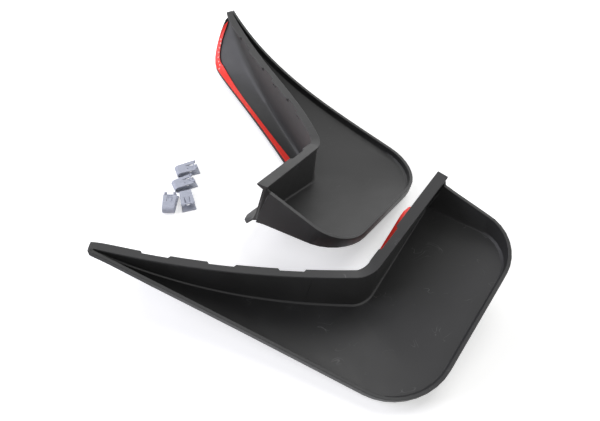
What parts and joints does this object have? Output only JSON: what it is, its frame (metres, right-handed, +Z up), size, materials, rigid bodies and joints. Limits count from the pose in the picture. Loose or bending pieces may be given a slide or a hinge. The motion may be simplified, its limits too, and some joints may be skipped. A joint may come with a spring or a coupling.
{
  "type": "mud flap set",
  "caption": "Handed pair of moulded car mud flaps with a bent tray panel, standing wall, taped flange with red release liners, and folded spring clips, laid out loose.",
  "frame": {"origin": "on the table, under the middle of the box around the whole set", "axes": "+Z up from the table, +Y from the front of the layout to the back, +X to the right as seen from the front"},
  "size_m": [0.407, 0.526, 0.104],
  "materials": {
    "flap_plastic": "fine moulded grain, charcoal black",
    "foam_tape": "matt closed-cell foam",
    "release_liner": "satin red film",
    "clip_steel": "satin zinc plating"
  },
  "bodies": {
    "near_flap": {"near_flap": "flap_plastic", "near_arm_tape": "foam_tape", "near_corner_tape": "foam_tape"},
    "near_arm_liner": {"near_arm_liner": "release_liner"},
    "near_corner_liner": {"near_corner_liner": "release_liner"},
    "far_flap": {"far_flap": "flap_plastic", "far_arm_tape": "foam_tape", "far_corner_tape": "foam_tape"},
    "far_arm_liner": {"far_arm_liner": "release_liner"},
    "far_corner_liner": {"far_corner_liner": "release_liner"},
    "clip_1": {"clip_1": "clip_steel"},
    "clip_2": {"clip_2": "clip_steel"},
    "clip_3": {"clip_3": "clip_steel"},
    "clip_4": {"clip_4": "clip_steel"}
  },
  "joints": [
    {"name": "near_arm_peel", "type": "slide", "parent": "near_flap", "child": "near_arm_liner", "axis": [0.0739, 0.7966, 0.6], "range_m": [0, 0.04]},
    {"name": "near_corner_peel", "type": "slide", "parent": "near_flap", "child": "near_corner_liner", "axis": [0, 0, 1], "range_m": [0, 0.06]},
    {"name": "far_flap_lift", "type": "slide", "parent": "near_flap", "child": "far_flap", "axis": [0, 0, 1], "range_m": [0, 0.12]},
    {"name": "far_arm_peel", "type": "slide", "parent": "far_flap", "child": "far_arm_liner", "axis": [-0.7196, -0.3494, 0.6], "range_m": [0, 0.04]},
    {"name": "far_corner_peel", "type": "slide", "parent": "far_flap", "child": "far_corner_liner", "axis": [0, 0, 1], "range_m": [0, 0.06]},
    {"name": "clip_1_lift", "type": "slide", "parent": "near_flap", "child": "clip_1", "axis": [0, 0, 1], "range_m": [0, 0.06]},
    {"name": "clip_2_lift", "type": "slide", "parent": "near_flap", "child": "clip_2", "axis": [0, 0, 1], "range_m": [0, 0.06]},
    {"name": "clip_3_lift", "type": "slide", "parent": "near_flap", "child": "clip_3", "axis": [0, 0, 1], "range_m": [0, 0.06]},
    {"name": "clip_4_lift", "type": "slide", "parent": "near_flap", "child": "clip_4", "axis": [0, 0, 1], "range_m": [0, 0.06]}
  ]
}
